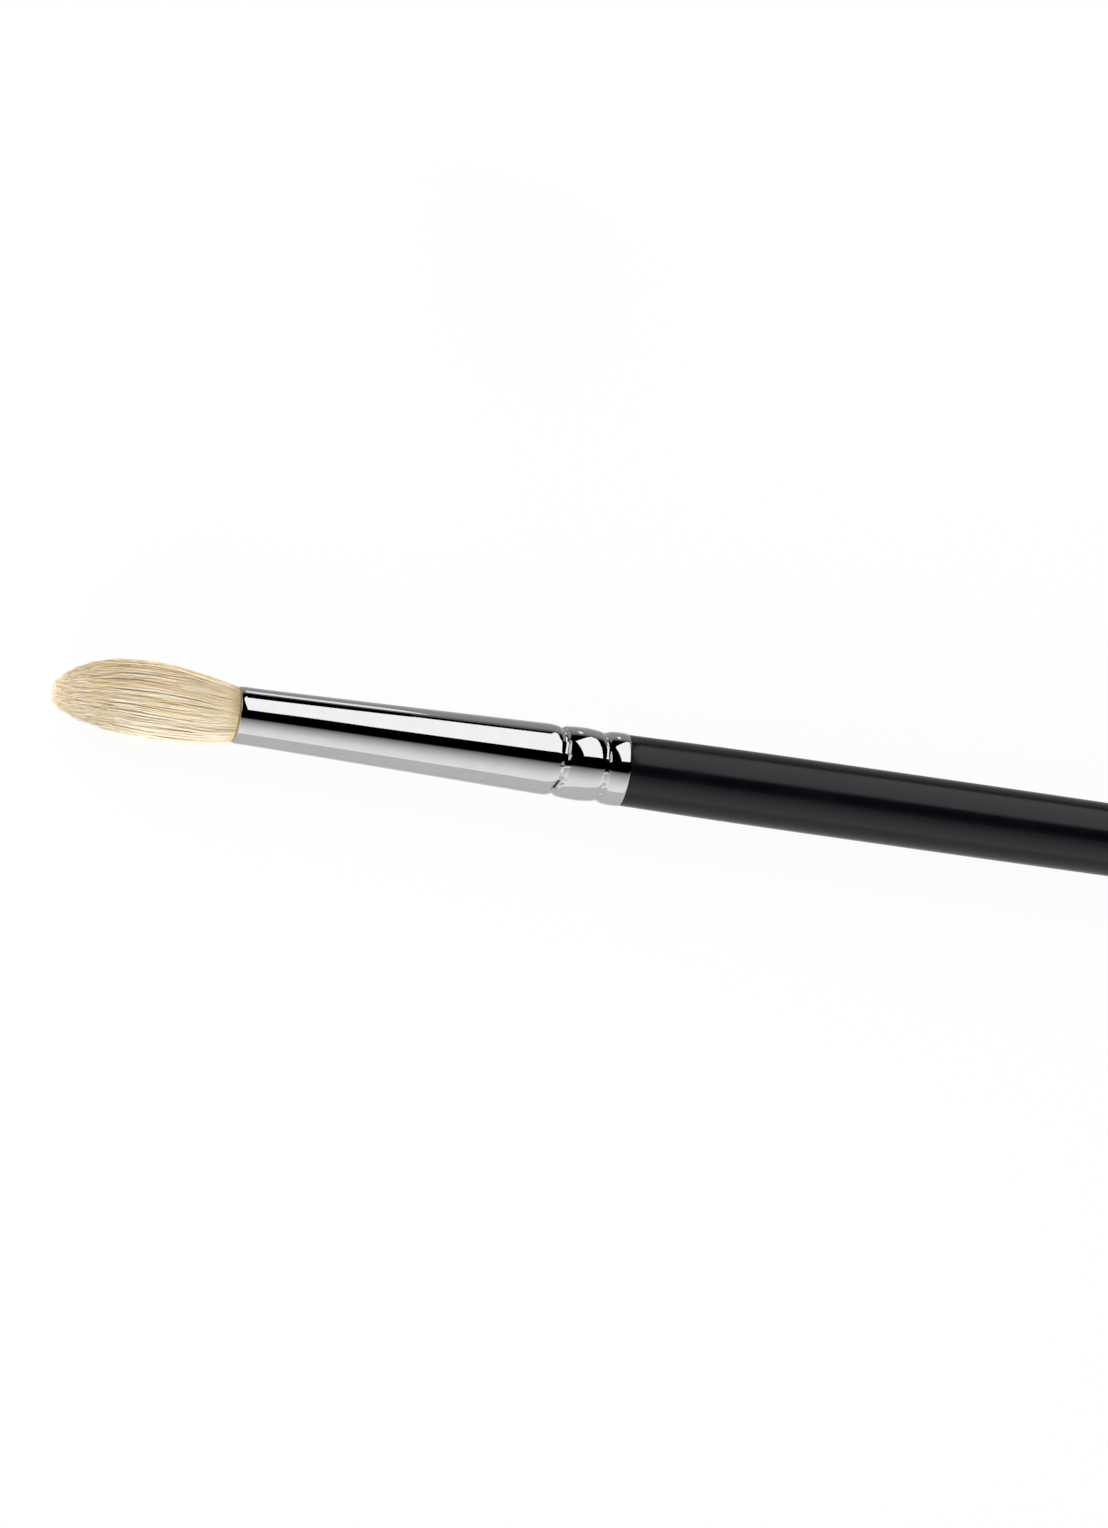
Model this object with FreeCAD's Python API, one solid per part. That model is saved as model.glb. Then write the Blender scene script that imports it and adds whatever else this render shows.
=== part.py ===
"""Eyeshadow brush with a tapered natural-hair tuft, a drawn and crimped metal ferrule and a turned wooden handle.

The brush lies along X with the tuft at -X and the butt at +X. Z is up, z = 0 is the table that it lies on,
and x = 0 is the middle of its length. Every piece is drawn as an outline of (distance from the mouth of the
ferrule, radius) and is turned round the brush's axis, apart from the tuft, which bows a little to one side,
and the thread round its roots, which is swept along a helix.
"""
import FreeCAD, Part
import math
import os

V = FreeCAD.Vector

# Lengths along the brush, in millimetres.
hair_out_length = 16.6          # hair that stands out of the ferrule
ferrule_length = 35.0           # mouth of the ferrule to the handle's shoulder
handle_length = 128.4           # shoulder to butt, the part that the hand holds

# The ferrule, a seamless tube drawn to a long taper that starts flat behind the mouth.
mouth_radius = 2.53
body_end_radius = 3.14
ferrule_wall = 0.22
taper_flat_length = 2.6         # behind the mouth, before the taper gets going
longest_stretch = 8.0           # in which the taper is drawn, so that it facets lightly
lip_turn_in = 0.07              # how far the lip is burnished inwards
lip_turn_length = 0.55
lip_flat_share = 0.45           # of the wall, between the chamfers that break the lip's edges

# The two crimps that lock the ferrule to the handle, and the crowned beads that they leave.
end_bead_length = 2.44          # middle of the rear crimp to the rear edge
middle_bead_length = 3.58       # middle of the front crimp to the middle of the rear one
end_bead_radius = 3.24
middle_bead_radius = 3.22
rear_edge_radius = 3.10
rear_edge_chamfer = 0.30
bead_crown_drop = 0.10          # from a bead's crest to its shoulders
crown_radius = 9.0
front_crimp_depth = 0.28
rear_crimp_depth = 0.24
crimp_bottom_length = 0.22
crimp_flank_length = 0.26       # along the brush, from the bottom of a crimp to a bead's shoulder
body_flank_length = 0.60        # the same, to the end of the tapered body
body_land_length = 0.90         # straight stretch between the taper and that flank
bead_shoulder_fillet = 0.14
body_end_fillet = 0.90
crimp_jaw_count = 16
jaw_ridge_width = 0.16          # metal that rises between two jaws of the crimping tool
jaw_ridge_height = 0.12

# The handle, turned from one stick of wood, and its tenon inside the ferrule.
shoulder_radius = 3.14
shoulder_chamfer = 0.12
neck_length = 15.5              # shoulder to the start of the belly
belly_radius = 3.25
belly_length = 9.0              # straight stretch at the greatest radius
butt_radius = 2.15              # the tail is one long arc from the belly to the round butt
tail_stretches = 4              # in which that arc is drawn, so that it facets lightly
air_gap_length = 4.1            # left empty between the resin and the tenon
tenon_chamfer = 0.5
glue_line = 0.15                # thickness of the glue round the tenon
fit_gap = 0.02                  # left between pieces that seat in one another

# The hair: its bundle inside the ferrule, and the tuft outside.
root_length = 13.5              # mouth of the ferrule to the cut roots
tie_middle_from_mouth = 11.0
waist_radius = 1.75             # where the thread draws the bundle in
waist_length = 3.4
root_end_radius = 1.95
gather_length = 2.2             # over which the bundle narrows from the bore to the waist
hair_over_lip = 0.21            # how far the hair spreads over the lip as it leaves the bore
tuft_belly_radius = 3.36
tuft_bow = 0.26                 # how far the tuft's middle leans towards +Y
tip_radius = 0.25               # the small blunt end that the longest hairs make
belly_share = 0.45              # where along the tuft it is widest
bow_end_share = 0.88            # where its middle line comes back over the axis
root_swell_power = 1.75         # how the tuft swells from the mouth to its belly
tip_along_power = 2.2           # the front is a superellipse, rounder than a cone and sharper than a dome
tip_across_power = 1.75
swell_rings = 5
front_rings = 10

# The thread tied round the roots before the hair is drawn into the ferrule.
thread_diameter = 0.26
thread_pitch = 0.70
thread_turns = 4
thread_sides = 6
quarter_turns = 4 * thread_turns

# The resin that sets the roots in the ferrule.
resin_front_from_mouth = 7.8
resin_back_from_mouth = 15.6

overrun = 1.0                   # how far a trimming solid reaches past what it trims

# Where things lie in the part's frame.
total_length = hair_out_length + ferrule_length + handle_length
mouth_x = hair_out_length - total_length / 2
axis_z = max(belly_radius, tuft_belly_radius)
rear_crimp_at = ferrule_length - end_bead_length
front_crimp_at = rear_crimp_at - middle_bead_length
front_crimp_radius = body_end_radius - front_crimp_depth
rear_crimp_radius = middle_bead_radius - rear_crimp_depth
body_end_at = front_crimp_at - crimp_bottom_length / 2 - body_flank_length
taper_start = ferrule_wall / 2 + lip_turn_length
taper_end = body_end_at - body_land_length
tenon_start = resin_back_from_mouth + air_gap_length
glue_start = tenon_start + tenon_chamfer


def place(along, radius):
    """A point of an outline, as a 3-D point above the brush's axis."""
    return V(mouth_x + along, 0, axis_z + radius)


def line(start, end):
    return Part.LineSegment(place(*start), place(*end)).toShape()


def path(*corners):
    return [line(a, b) for a, b in zip(corners, corners[1:])]


def arc(start, middle, end):
    return Part.Arc(place(*start), place(*middle), place(*end)).toShape()


def bend(start, corner, end, stretches=1):
    """The edges of a gentle curve from start to end, which heads for the corner from both."""
    edges = []
    for n in range(stretches):
        curve = Part.BezierCurve()
        curve.setPoles([place(*start), place(*corner), place(*end)])
        curve.segment(n / stretches, (n + 1) / stretches)
        edges.append(curve.toShape())
    return edges


def turned(edges):
    """The solid that a closed outline sweeps when it is turned once round the axis."""
    face = Part.Face(Part.Wire(Part.__sortEdges__(edges)))
    return face.revolve(V(mouth_x, 0, axis_z), V(1, 0, 0), 360)


def unit(start, end):
    along, radius = end[0] - start[0], end[1] - start[1]
    length = math.hypot(along, radius)
    return along / length, radius / length


def turn_at(corners, i):
    """How far the outline turns at corner i, in radians: positive where it turns away from the axis."""
    before, after = unit(corners[i - 1], corners[i]), unit(corners[i], corners[i + 1])
    return math.atan2(before[0] * after[1] - before[1] * after[0], before[0] * after[0] + before[1] * after[1])


def rounded(corners, fillets):
    """Straight edges through the corners, with an arc at each corner no larger than its two stretches allow."""
    spans = [math.dist(a, b) for a, b in zip(corners, corners[1:])]
    halves = [0] + [abs(turn_at(corners, i)) / 2 for i in range(1, len(corners) - 1)] + [0]
    wanted = [fillet * math.tan(half) for fillet, half in zip(fillets, halves)]
    reaches = [0] * len(corners)
    for i in sorted(range(1, len(corners) - 1), key=lambda n: wanted[n]):
        room = min(spans[i - 1] - reaches[i - 1], spans[i] - reaches[i + 1])
        reaches[i] = max(min(wanted[i], room), 0)
    edges, at = [], corners[0]
    for i in range(1, len(corners) - 1):
        corner, reach, half = corners[i], reaches[i], halves[i]
        before, after = unit(corners[i - 1], corner), unit(corner, corners[i + 1])
        start = (corner[0] - before[0] * reach, corner[1] - before[1] * reach)
        end = (corner[0] + after[0] * reach, corner[1] + after[1] * reach)
        if math.dist(at, start) > fit_gap / 100:
            edges.append(line(at, start))
            at = start
        if reach > 0:
            chord = ((start[0] + end[0]) / 2, (start[1] + end[1]) / 2)
            lift = math.tan(half / 2) / math.tan(half)
            crest = (chord[0] + (corner[0] - chord[0]) * lift, chord[1] + (corner[1] - chord[1]) * lift)
            edges.append(arc(at, crest, end))
            at = end
    edges.append(line(at, corners[-1]))
    return edges


def taper_point(along, depth):
    """The point at a depth under the outside of the ferrule's taper, at a distance from the mouth.

    The taper leaves the mouth flat and settles into a straight slope, as a parabola does that heads for
    the taper's corner from both ends.
    """
    a = taper_end - taper_start - 2 * taper_flat_length
    b = 2 * taper_flat_length
    share = (math.sqrt(b * b + 4 * a * (along - taper_start)) - b) / (2 * a)
    return along, mouth_radius - depth + (body_end_radius - mouth_radius) * share ** 2


def taper(first, last, depth=0):
    """The edges of the ferrule's taper between two distances from the mouth, at a depth under its outside."""
    stretches = math.ceil((last - first) / longest_stretch)
    points = [taper_point(first + (last - first) * n / stretches, depth) for n in range(stretches + 1)]
    edges = []
    for a, b in zip(points, points[1:]):
        edges += bend(a, ((a[0] + b[0]) / 2, (a[1] + b[1]) / 2), b)
    return edges


def crimped_end():
    """Corners of the ferrule's outside from the end of the taper to the rear edge, and the fillet at each."""
    half_bottom = crimp_bottom_length / 2
    flank = half_bottom + crimp_flank_length
    middle_crest = (front_crimp_at + rear_crimp_at) / 2
    end_crest = (rear_crimp_at + flank + ferrule_length) / 2
    rows = [
        (taper_end, body_end_radius, 0),
        (body_end_at, body_end_radius, body_end_fillet),
        (front_crimp_at - half_bottom, front_crimp_radius, 0),
        (front_crimp_at + half_bottom, front_crimp_radius, 0),
        (front_crimp_at + flank, middle_bead_radius - bead_crown_drop, bead_shoulder_fillet),
        (middle_crest, middle_bead_radius + bead_crown_drop, crown_radius),
        (rear_crimp_at - flank, middle_bead_radius - bead_crown_drop, bead_shoulder_fillet),
        (rear_crimp_at - half_bottom, rear_crimp_radius, 0),
        (rear_crimp_at + half_bottom, rear_crimp_radius, 0),
        (rear_crimp_at + flank, end_bead_radius - bead_crown_drop, bead_shoulder_fillet),
        (end_crest, end_bead_radius + bead_crown_drop, crown_radius),
        (ferrule_length - rear_edge_chamfer, end_bead_radius - bead_crown_drop / 2, 0),
        (ferrule_length, rear_edge_radius, 0),
    ]
    return [row[:2] for row in rows], [row[2] for row in rows]


def under_crimped_end(depth):
    """Corners of the same outline at a depth under the outside, where nothing is rounded."""
    corners, fillets = crimped_end()
    moved = [(corners[0][0], corners[0][1] - depth)]
    for i in range(1, len(corners) - 1):
        before, after = unit(corners[i - 1], corners[i]), unit(corners[i], corners[i + 1])
        bisector = unit((0, 0), (before[0] + after[0], before[1] + after[1]))
        reach = depth / math.cos(turn_at(corners, i) / 2)
        crown = bead_crown_drop if fillets[i] == crown_radius else 0
        moved.append((corners[i][0] + bisector[1] * reach, corners[i][1] - crown - bisector[0] * reach))
    moved.append((corners[-1][0], corners[-1][1] - depth / unit(corners[-2], corners[-1])[0]))
    return moved


def jaw_ridges(crimp_at, bottom):
    """The small ridges that rise across a crimp between the jaws of the tool."""
    low, high = bottom - ferrule_wall / 2, bottom + jaw_ridge_height
    near, far = crimp_at - crimp_bottom_length / 2, crimp_at + crimp_bottom_length / 2
    ring = turned(path((near, low), (near, high), (far, high), (far, low), (near, low)))
    ridges = []
    for n in range(crimp_jaw_count):
        blade = Part.makeBox(far - near, jaw_ridge_width, high + overrun,
                             V(mouth_x + near, -jaw_ridge_width / 2, axis_z))
        blade.rotate(V(mouth_x, 0, axis_z), V(1, 0, 0), 360 / crimp_jaw_count * n)
        ridges.append(ring.common(blade))
    return ridges


def make_ferrule():
    lip_top = mouth_radius - lip_turn_in
    lip_middle = lip_top - ferrule_wall / 2
    half_flat = ferrule_wall * lip_flat_share / 2
    lip = path(taper_point(taper_start, 0), (ferrule_wall / 2, lip_top), (0, lip_middle + half_flat),
               (0, lip_middle - half_flat), (ferrule_wall / 2, lip_top - ferrule_wall),
               taper_point(taper_start, ferrule_wall))
    outside, inside = rounded(*crimped_end()), under_crimped_end(ferrule_wall)
    edges = lip + taper(taper_start, taper_end) + taper(taper_start, taper_end, ferrule_wall)
    edges += outside + path(*inside) + path(inside[-1], (ferrule_length, rear_edge_radius))
    ridges = jaw_ridges(front_crimp_at, front_crimp_radius) + jaw_ridges(rear_crimp_at, rear_crimp_radius)
    return turned(edges).fuse(ridges).removeSplitter()


def make_handle():
    """Tenon, shoulder, neck, belly, tail and butt, turned in one piece."""
    seat_depth = ferrule_wall + fit_gap
    glued_depth = seat_depth + glue_line + fit_gap
    tenon_front = (tenon_start, taper_point(glue_start, glued_depth)[1] - tenon_chamfer)
    locked = under_crimped_end(seat_depth)
    shoulder_at = ferrule_length + fit_gap
    neck_start = (shoulder_at + shoulder_chamfer, shoulder_radius)
    belly_start = (ferrule_length + neck_length, belly_radius)
    belly_end = (belly_start[0] + belly_length, belly_radius)
    neck_corner = ((neck_start[0] + belly_start[0]) / 2, belly_radius)

    # The tail follows the arc that leaves the belly straight and meets the butt's sphere without a corner.
    butt_centre = (ferrule_length + handle_length - butt_radius, 0)
    run = butt_centre[0] - belly_end[0]
    tail_radius = (run ** 2 + belly_radius ** 2 - butt_radius ** 2) / (2 * (belly_radius - butt_radius))
    tail_turn = math.atan2(run, tail_radius - belly_radius)
    butt_turns = (tail_turn, (tail_turn + math.pi / 2) / 2, math.pi / 2)
    butt = [(butt_centre[0] + butt_radius * math.sin(a), butt_radius * math.cos(a)) for a in butt_turns]
    tail_corner = (butt[0][0] - (belly_radius - butt[0][1]) / math.tan(tail_turn), belly_radius)

    edges = path((tenon_start, 0), tenon_front, taper_point(glue_start, glued_depth))
    edges += taper(glue_start, taper_end, glued_depth) + path(taper_point(taper_end, glued_depth), *locked)
    edges += path(locked[-1], (shoulder_at, locked[-1][1]), (shoulder_at, shoulder_radius - shoulder_chamfer),
                  neck_start)
    edges += bend(neck_start, neck_corner, belly_start) + path(belly_start, belly_end)
    edges += bend(belly_end, tail_corner, butt[0], tail_stretches)
    edges += [arc(*butt)] + path((butt[2][0], 0), (tenon_start, 0))
    return turned(edges)


def make_tenon_glue():
    """The sleeve of glue between tenon and ferrule, in front of the crimps, where the metal grips bare wood."""
    outer_depth = ferrule_wall + fit_gap
    inner_depth = outer_depth + glue_line
    glue_end = taper_end - fit_gap
    edges = taper(glue_start, glue_end, outer_depth) + taper(glue_start, glue_end, inner_depth)
    for along in (glue_start, glue_end):
        edges += path(taper_point(along, outer_depth), taper_point(along, inner_depth))
    return turned(edges)


def make_bundle(growth=0):
    """The hair inside the ferrule: it fills the bore, then narrows to the waist where it is tied."""
    depth = ferrule_wall + fit_gap - growth
    waist_start = tie_middle_from_mouth - waist_length / 2
    waist_end = tie_middle_from_mouth + waist_length / 2
    gather_start = waist_start - gather_length
    root_end = root_length + growth
    mouth_hair_radius = mouth_radius - lip_turn_in - depth
    edges = path((root_end, 0), (-fit_gap, 0), (-fit_gap, mouth_hair_radius),
                 (ferrule_wall / 2, mouth_hair_radius), taper_point(taper_start, depth))
    edges += taper(taper_start, gather_start, depth)
    edges += path(taper_point(gather_start, depth), (waist_start, waist_radius + growth),
                  (waist_end, waist_radius + growth), (root_end, root_end_radius + growth), (root_end, 0))
    return turned(edges)


def tuft_ring(share, radius):
    """A circle round the tuft's middle line, at a share of the tuft's length from the mouth."""
    along = -fit_gap - share * (hair_out_length - fit_gap)
    bow = tuft_bow * 2 * share * math.sin(math.pi * share / bow_end_share)
    return Part.Wire(Part.makeCircle(radius, V(mouth_x + along, bow, axis_z), V(1, 0, 0)))


def make_hair_tuft():
    """The tuft outside, as a loft through circles, in one solid with the bundle of its roots."""
    spread_radius = mouth_radius - lip_turn_in - ferrule_wall + hair_over_lip
    rings = []
    for n in range(front_rings, 0, -1):
        along = math.sin(math.pi / 2 * n / front_rings)
        radius = tuft_belly_radius * max(1 - along ** tip_along_power, 0) ** (1 / tip_across_power)
        rings.append(tuft_ring(belly_share + (1 - belly_share) * along, max(radius, tip_radius)))
    for n in range(swell_rings, -1, -1):
        share = n / swell_rings
        narrowing = (tuft_belly_radius - spread_radius) * (1 - share) ** root_swell_power
        rings.append(tuft_ring(belly_share * share, tuft_belly_radius - narrowing))
    return Part.makeLoft(rings, True, True).fuse(make_bundle())


def biarc(start, start_way, end, end_way):
    """Two arcs, tangent to each other, from start to end with the given directions."""
    chord, ways = end - start, start_way + end_way
    spread = 2 * (1 - start_way.dot(end_way))
    along = chord.dot(ways)
    reach = (math.sqrt(along ** 2 + spread * chord.dot(chord)) - along) / spread
    first_corner, last_corner = start + start_way * reach, end - end_way * reach
    join = (first_corner + last_corner) / 2
    edges = []
    for a, corner, b in ((start, first_corner, join), (join, last_corner, end)):
        middle = (a + b) / 2
        half = math.atan2((corner - middle).Length, (b - middle).Length)
        crest = middle + (corner - middle) * (math.tan(half / 2) / math.tan(half))
        edges.append(Part.Arc(a, crest, b).toShape())
    return edges


def make_root_thread():
    """The tie: one thread wound in a helix round the waist of the bundle."""
    radius = waist_radius + fit_gap + thread_diameter / 2
    start = mouth_x + tie_middle_from_mouth - thread_pitch * thread_turns / 2

    def point(quarter):
        angle = quarter * math.pi / 2
        return V(start + thread_pitch * quarter / 4, radius * math.cos(angle), axis_z + radius * math.sin(angle))

    def way(quarter):
        angle = quarter * math.pi / 2
        turn = V(thread_pitch / (2 * math.pi), -radius * math.sin(angle), radius * math.cos(angle))
        return turn.normalize()

    edges = []
    for quarter in range(quarter_turns):
        edges += biarc(point(quarter), way(quarter), point(quarter + 1), way(quarter + 1))
    corners = []
    for side in range(thread_sides + 1):
        turn = FreeCAD.Rotation(way(0), 360 / thread_sides * side)
        corners.append(point(0) + turn.multVec(V(0, -thread_diameter / 2, 0)))
    least = min((point(q + 4) - point(q)).Length for q in range(quarter_turns - 3)) - thread_diameter
    print("root_thread: least gap between turns", round(least, 3), "length", round(Part.Wire(edges).Length, 2))
    return Part.Wire(edges).makePipeShell([Part.makePolygon(corners)], True, False)


def make_root_resin():
    """The plug of cured resin, cast against the bore and round the tied roots."""
    start, end = resin_front_from_mouth, resin_back_from_mouth
    depth = ferrule_wall + fit_gap
    plug = turned(path(taper_point(end, depth), (end, 0), (start, 0), taper_point(start, depth))
                  + taper(start, end, depth))
    half_tie = (thread_pitch * thread_turns + thread_diameter) / 2 + fit_gap
    tie_radius = waist_radius + fit_gap + thread_diameter + fit_gap
    near, far = tie_middle_from_mouth - half_tie, tie_middle_from_mouth + half_tie
    tie = turned(path((near, 0), (near, tie_radius), (far, tie_radius), (far, 0), (near, 0)))
    return plug.cut(make_bundle(fit_gap)).cut(tie)


def report(name, shape):
    print(f"{name}: volume {shape.Volume:.2f}, solids {len(shape.Solids)}, valid {shape.isValid()}")


pieces = {
    "hair_tuft": make_hair_tuft,
    "root_thread": make_root_thread,
    "root_resin": make_root_resin,
    "ferrule": make_ferrule,
    "tenon_glue": make_tenon_glue,
    "handle": make_handle,
}
os.makedirs("parts", exist_ok=True)
for piece_name, make in pieces.items():
    piece = make()
    report(piece_name, piece)
    piece.exportStep(f"parts/{piece_name}.step")
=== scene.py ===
import math

import bmesh
import bpy
import numpy as np
from mathutils import Matrix, Vector


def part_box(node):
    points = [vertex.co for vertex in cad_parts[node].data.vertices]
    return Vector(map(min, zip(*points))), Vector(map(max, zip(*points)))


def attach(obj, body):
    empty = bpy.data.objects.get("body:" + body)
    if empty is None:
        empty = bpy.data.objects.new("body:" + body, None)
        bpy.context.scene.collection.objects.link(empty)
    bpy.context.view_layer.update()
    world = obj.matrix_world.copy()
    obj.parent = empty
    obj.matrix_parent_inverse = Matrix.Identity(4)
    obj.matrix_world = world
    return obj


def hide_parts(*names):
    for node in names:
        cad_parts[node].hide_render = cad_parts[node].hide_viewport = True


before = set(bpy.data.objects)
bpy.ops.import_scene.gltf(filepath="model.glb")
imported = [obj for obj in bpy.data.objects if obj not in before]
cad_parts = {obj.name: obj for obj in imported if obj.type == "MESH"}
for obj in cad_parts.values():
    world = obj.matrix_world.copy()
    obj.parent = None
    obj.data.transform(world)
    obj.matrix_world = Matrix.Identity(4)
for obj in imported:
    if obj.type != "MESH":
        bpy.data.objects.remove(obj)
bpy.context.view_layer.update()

mm = 0.001


# The hair. Fourteen thousand goat hairs, each as long as the tuft's shape leaves it, so that their tips make
# the front. They gather into wisps and locks. Inside, and down to the cut roots in the ferrule, they are
# packed so tightly that they are one body, which is drawn in where the thread ties it.
ferrule_low, ferrule_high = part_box("ferrule")
tuft_low, tuft_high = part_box("hair_tuft")
mouth = ferrule_low.x
axis_height = (ferrule_low.z + ferrule_high.z) / 2
hair_out = mouth - tuft_low.x               # the tuft's length in front of the ferrule
belly_radius = (tuft_high.z - tuft_low.z) / 2
belly_share = 0.45                          # where the tuft is widest, as a share of its length
spread_radius = 2.45 * mm                   # of the tuft just outside the rim
bore_radius = 2.20 * mm
swell_power = 1.75                          # how it swells from the rim to the belly
closing_power, tip_power = 2.2, 1.75        # the superellipse from the belly to the tip
stream_closing, stream_power = 0.30, 1.6    # how much less the hairs themselves close in
bow, bow_end_share = 0.26 * mm, 0.88        # the tuft's sideways bow, and where it is back in line

hairs_per_piece, hair_pieces = 3500, 4
hair_width = 0.064 * mm
hair_thinning, thinning_power = 0.75, 5     # the share of its width that a tip has lost
hair_start = 0.30 * mm                      # how far behind the rim the loose hairs begin
rim_length = 0.10 * mm                      # over which the rim lets them spread
hair_steps = np.array([0, 0, 0.015, 0.12, 0.25, 0.4, 0.55, 0.7, 0.86, 1])
locks, wisps = 420, 1700
bundle_power, hair_power = 0.36, 0.33       # how they crowd towards the bundle's edge
wisp_lean = 0.5                             # how far a hair ends where its wisp does
lock_hold, wisp_hold = (0.05, 0.35), (0.20, 0.60)           # the least and the most
hold_start = 0.12                           # the share of the length in which the hold sets in
hold_places, hold_widths = (0.15, 1.0), (0.12, 0.4)         # where it is strongest, and how far it goes
lock_wave = 0.010, 1.2                      # reach as a share of the radius, and turns in the tuft's length
wisp_wave = 0.010, 2.0
hair_wave = 0.008, 3.0
wave_start, wave_rates = 0.3, (0.7, 1.3)
end_shift, end_scatter, last_end = -0.012, 0.014, 0.999
short_hairs, shortest = 0.12, 0.86          # how many hairs end early, and at what share of their length

mean_tone = 0.72                            # 0 is the darkest hair and 1 the lightest
lock_tones, wisp_tones, hair_tones = 0.08, 0.12, 0.10
# Painted shade: the tone darkens with depth in the tuft.
inner_painted_shade, inner_depth = 2.5, 0.06        # how the tone darkens with depth, and from what depth
# The packed core's dark tone is painted shade, seen in the gaps between wisps.
packed_painted_shade_tone = 0.10
# Painted light and shade at the roots: a soft ochre for light through the hair, and dark right at the rim.
painted_root_shades = (0.3, 0.005, 0.08), (0.7, -0.004, 0.008)      # strength, full up to, gone from
random = np.random.default_rng(23)


def tuft_radius(share):
    """The tuft's radius at a share of its length: it swells by a power of the way left to the belly, then
    closes in a superellipse."""
    left = np.clip(1 - share / belly_share, 0, 1)
    front = np.clip((share - belly_share) / (1 - belly_share), 0, 1)
    swell = belly_radius - (belly_radius - spread_radius) * left ** swell_power
    return swell * (1 - front ** closing_power) ** (1 / tip_power)


def stream_radius(share):
    """Where the outermost hairs would run if none ended: as the tuft does, but closing in by less than a
    third."""
    front = np.clip((share - belly_share) / (1 - belly_share), 0, 1)
    closing = belly_radius * (1 - stream_closing * front ** stream_power)
    return np.where(share < belly_share, tuft_radius(share), closing)


def tuft_middle(share):
    """The sideways bow of the tuft's middle line: a sine that grows with the share and is back near the
    tip."""
    inside = np.clip(share, 0, 1)
    return bow * 2 * inside * np.sin(np.pi * inside / bow_end_share)


def ease(value, first, last):
    """A smooth step from 0 at first to 1 at last."""
    step = np.clip((value - first) / (last - first), 0, 1)
    return step * step * (3 - 2 * step)


def in_disc(number, power):
    """Random places in a circle of radius 1. A power under a half puts more of them near its edge."""
    angle, far = random.uniform(0, 2 * np.pi, number), random.uniform(0, 1, number) ** power
    return np.stack([far * np.cos(angle), far * np.sin(angle)], axis=-1)


def nearest(places, centres):
    """For each place, which centre lies nearest to it. It is done in parts, which saves memory."""
    parts = np.array_split(places, 24)
    return np.concatenate([((part[:, None] - centres) ** 2).sum(-1).argmin(1) for part in parts])


def hold(owner, limits, share):
    """How tightly an owner's hairs keep together: not at all at the root, and most at a place of its own."""
    number = owner.max() + 1
    most, middle, width = (
        random.uniform(*pair, (number, 1, 1))[owner] for pair in (limits, hold_places, hold_widths))
    return most * ease(share, 0, hold_start) * np.exp(-((share - middle) / width) ** 2)


def wave(owner, reach, turns, share):
    """A sine along the hair, in both directions across it, that all hairs of one owner share. It is 0 at the
    root."""
    number = owner.max() + 1
    phase = random.uniform(0, 2 * np.pi, (number, 2, 1))[owner]
    rate = turns * random.uniform(*wave_rates, (number, 2, 1))[owner]
    return reach * (np.sin(2 * np.pi * rate * share + phase) - np.sin(phase))


def hair_ends(places):
    """The share of the tuft's length at which each hair ends: where the stream through its place in the
    bundle meets the tuft's surface, give or take a little, and for some hairs well before that."""
    ends = np.linspace(belly_share, 1, 200)
    room = tuft_radius(ends) / stream_radius(ends)
    end = np.interp(-np.minimum(np.linalg.norm(places, axis=1), 1), -room, ends)
    end = end + random.normal(end_shift, end_scatter, len(places))
    is_short = random.uniform(0, 1, len(places)) < short_hairs
    end = end * np.where(is_short, random.uniform(shortest, 1, len(places)), 1)
    return np.minimum(end, last_end)


def hair_paths(count):
    """The middle lines of the hairs, the share of the tuft's length at each point, and each point's tone.

    A hair starts in the bundle's section, leans towards the middle of its wisp and less towards that of its
    lock, and waves with both and a little by itself. Deeper in the tuft its tone is darker, as painted shade.
    """
    lock_places, wisp_places = in_disc(locks, bundle_power), in_disc(wisps, bundle_power)
    starts = in_disc(count, hair_power)
    wisp = nearest(starts, wisp_places)
    lock = nearest(wisp_places, lock_places)[wisp]
    to_wisp = wisp_places[wisp] - starts
    share = hair_ends(starts + wisp_lean * to_wisp)[:, None] * hair_steps
    share[:, 0] = -hair_start / hair_out

    along = np.clip(share, 0, 1)[:, None, :]
    place = starts[:, :, None] + hold(wisp, wisp_hold, along) * to_wisp[:, :, None]
    place = place + hold(lock, lock_hold, along) * (lock_places[lock][:, :, None] - place)
    waves = wave(lock, *lock_wave, along) + wave(wisp, *wisp_wave, along)
    waves = waves + wave(np.arange(count), *hair_wave, along)
    place = place + ease(along, 0, wave_start) * waves
    place = place / np.maximum(np.linalg.norm(place, axis=1, keepdims=True), 1)
    along = along[:, 0]
    held_in = (spread_radius - bore_radius) * np.exp(-along * hair_out / rim_length)
    across = place * (stream_radius(along) - held_in)[:, None, :]
    paths = np.stack([
        mouth - share * hair_out, across[:, 0] + tuft_middle(share), axis_height + across[:, 1]], axis=-1)

    tone = mean_tone + random.normal(0, lock_tones, locks)[lock] + random.normal(0, wisp_tones, wisps)[wisp]
    tone = (tone + random.normal(0, hair_tones, count))[:, None]
    # Painted shade: a hair's tone darkens with its depth in the tuft, most in the gaps between wisps.
    depth = 1 - np.linalg.norm(across, axis=1) / np.maximum(tuft_radius(along), spread_radius / 4)
    tone = tone - inner_painted_shade * np.clip(depth - inner_depth, 0, 1) * (1 - along ** 2)
    return paths, along, np.clip(tone, 0, 1)


def corners_of(hair, *corners):
    """Triangles, one for each hair and place, from three corners that are each a point of it and a side."""
    corners = [np.stack(np.broadcast_arrays(hair, *corner), axis=-1) for corner in corners]
    return np.stack(corners, axis=-2).reshape(-1, 3, 3)


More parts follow.
